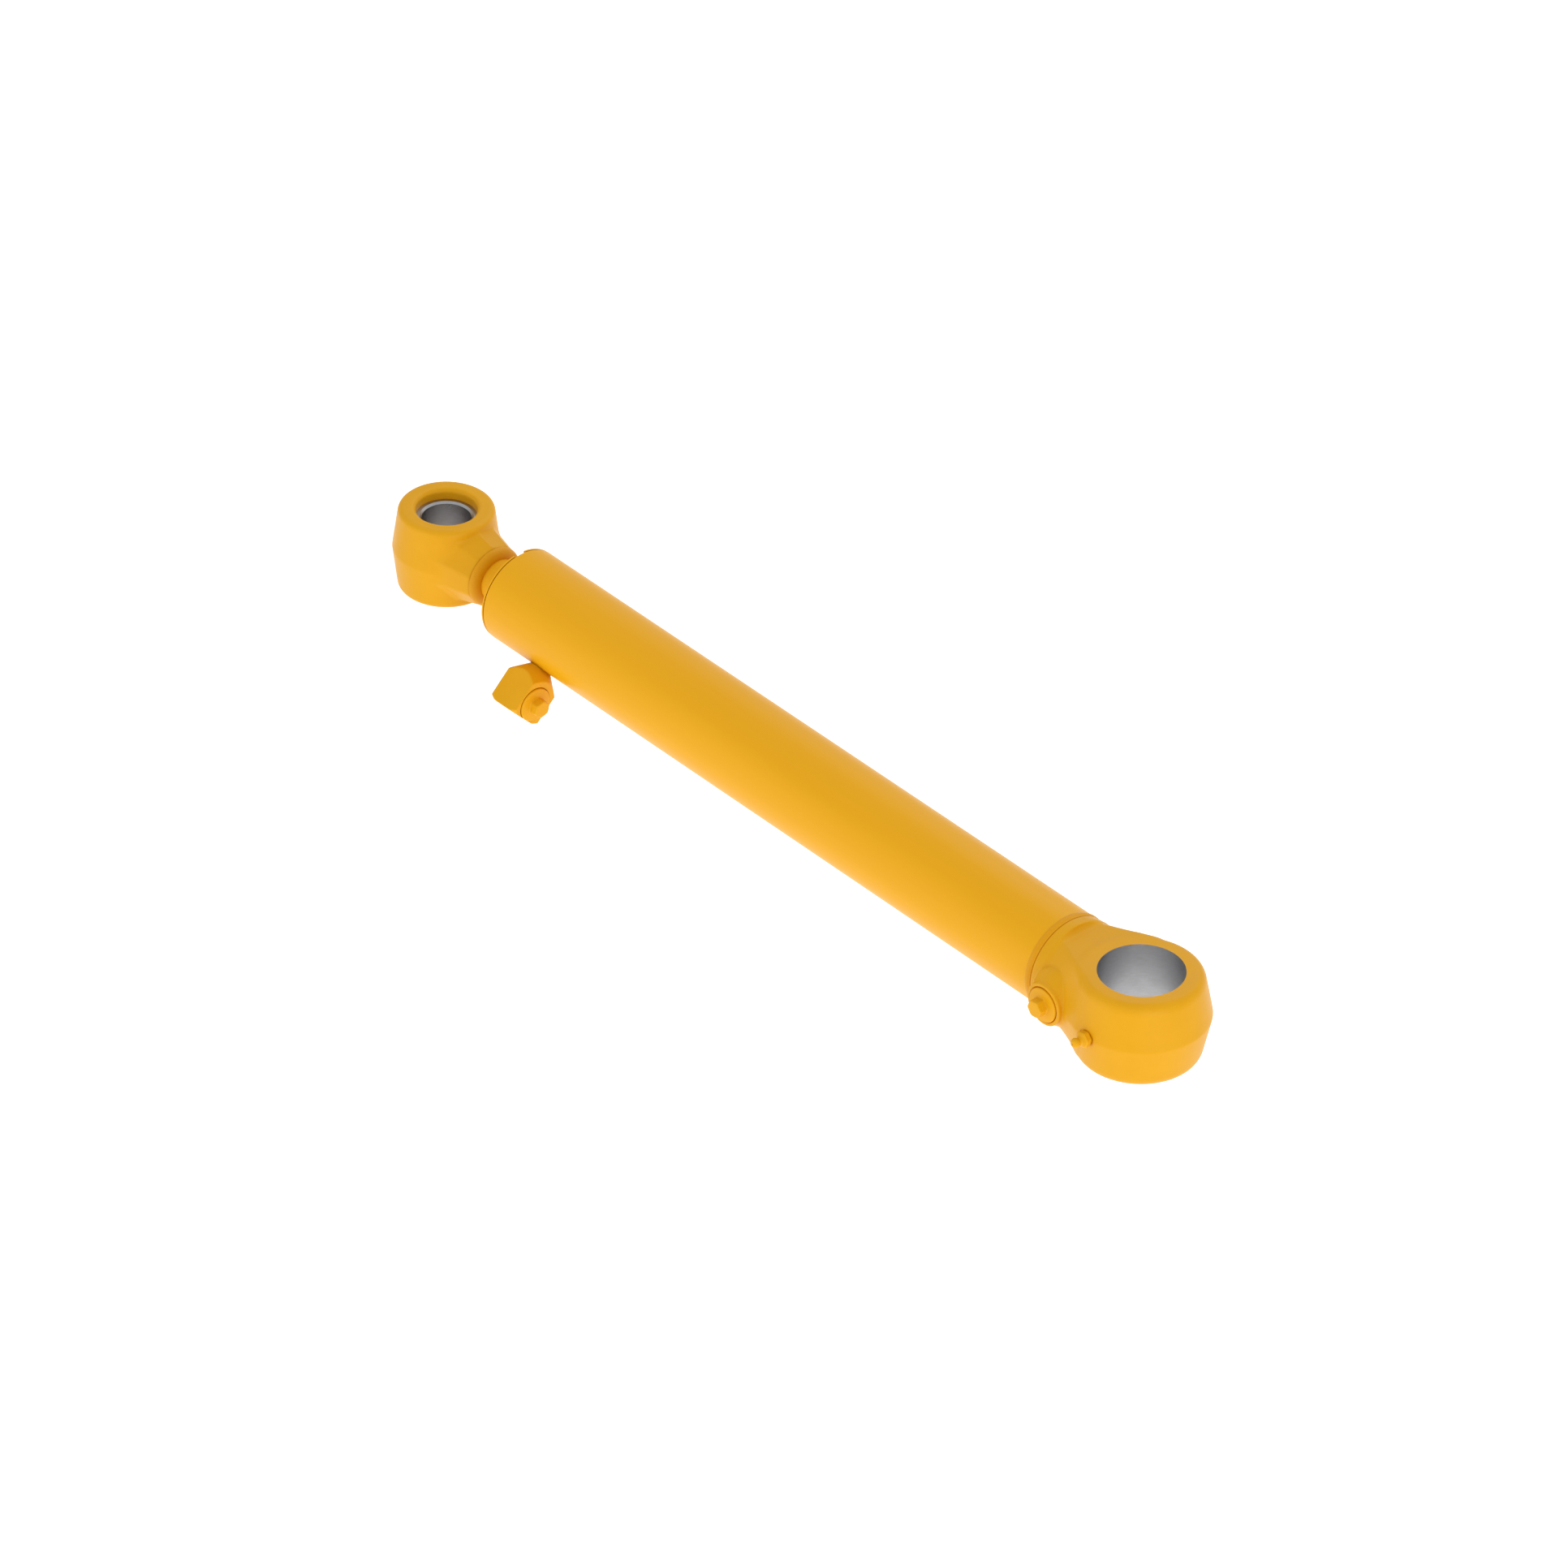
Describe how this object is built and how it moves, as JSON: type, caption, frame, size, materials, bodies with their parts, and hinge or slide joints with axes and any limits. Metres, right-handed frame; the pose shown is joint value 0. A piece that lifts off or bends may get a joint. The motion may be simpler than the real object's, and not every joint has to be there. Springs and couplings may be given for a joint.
{
  "type": "hydraulic cylinder",
  "caption": "Double-acting welded hydraulic cylinder with a base eye, a bushed rod eye, plugged ports and a grease fitting.",
  "frame": {"origin": "centre of the base eye's pin bore, at mid-width", "axes": "+X points from the rod eye to the base eye along the cylinder, +Z runs along both pin bores, -Y is the side with the base port and the grease fitting"},
  "size_m": [0.9178, 0.1248, 0.1089],
  "materials": {
    "barrel_paint": "semi-gloss yellow paint on drawn tube",
    "base_eye_paint": "semi-gloss yellow paint on forged steel, bare machined bore",
    "base_weld_paint": "yellow paint over a rippled weld bead",
    "grease_fitting_paint": "semi-gloss yellow paint",
    "port_block_paint": "semi-gloss yellow paint on machined steel",
    "block_weld_paint": "yellow paint over a small weld bead",
    "plug_paint": "semi-gloss yellow paint",
    "gland_paint": "semi-gloss yellow paint on turned steel",
    "rod_eye_paint": "semi-gloss yellow paint on forged steel",
    "rod_weld_paint": "yellow paint over a rippled weld bead",
    "rod_chrome": "hard chrome, ground and polished",
    "bushing_steel": "turned steel with a bright lead-in",
    "piston_steel": "turned steel",
    "nut_steel": "plain steel",
    "small_steel": "spring steel",
    "grease_ball_steel": "hardened steel ball",
    "bearing_strip": "filled bearing strip",
    "backup_polymer": "hard seal polymer",
    "seal_rubber": "nitrile rubber",
    "wiper_rubber": "polyurethane wiper"
  },
  "bodies": {
    "barrel": {"barrel_tube": "barrel_paint", "base_eye": "base_eye_paint", "base_weld": "base_weld_paint", "grease_fitting": "grease_fitting_paint", "grease_spring": "small_steel", "head_port_block": "port_block_paint", "head_block_weld": "block_weld_paint", "port_plugs": "plug_paint", "port_plug_o_rings": "seal_rubber", "gland": "gland_paint", "gland_o_ring": "seal_rubber", "gland_backup_ring": "backup_polymer", "rod_guide_rings": "bearing_strip", "rod_seal": "seal_rubber", "rod_buffer_seal": "seal_rubber", "rod_wiper": "wiper_rubber"},
    "piston_rings": {"piston_seal": "backup_polymer", "piston_seal_energizer": "seal_rubber", "piston_wear_rings": "bearing_strip"},
    "rod": {"piston": "piston_steel", "piston_o_ring": "seal_rubber", "piston_nut": "nut_steel", "piston_rod": "rod_chrome", "rod_eye": "rod_eye_paint", "rod_eye_weld": "rod_weld_paint", "rod_eye_bushing": "bushing_steel"},
    "grease_check_ball": {"grease_ball": "grease_ball_steel"}
  },
  "joints": [
    {"name": "rod_slide", "type": "slide", "parent": "barrel", "child": "piston_rings", "axis": [-1, 0, 0], "range_m": [0, 0.475]},
    {"name": "rod_turn", "type": "hinge", "parent": "piston_rings", "child": "rod", "pos_m": [-0.4, 0, 0], "axis": [1, 0, 0], "continuous": true},
    {"name": "grease_ball_lift", "type": "slide", "parent": "barrel", "child": "grease_check_ball", "axis": [0, 1, 0], "range_m": [0, 0.001], "stiffness_N_per_m": 150, "springref_m": -0.0005, "deforming": ["grease_spring"]}
  ]
}
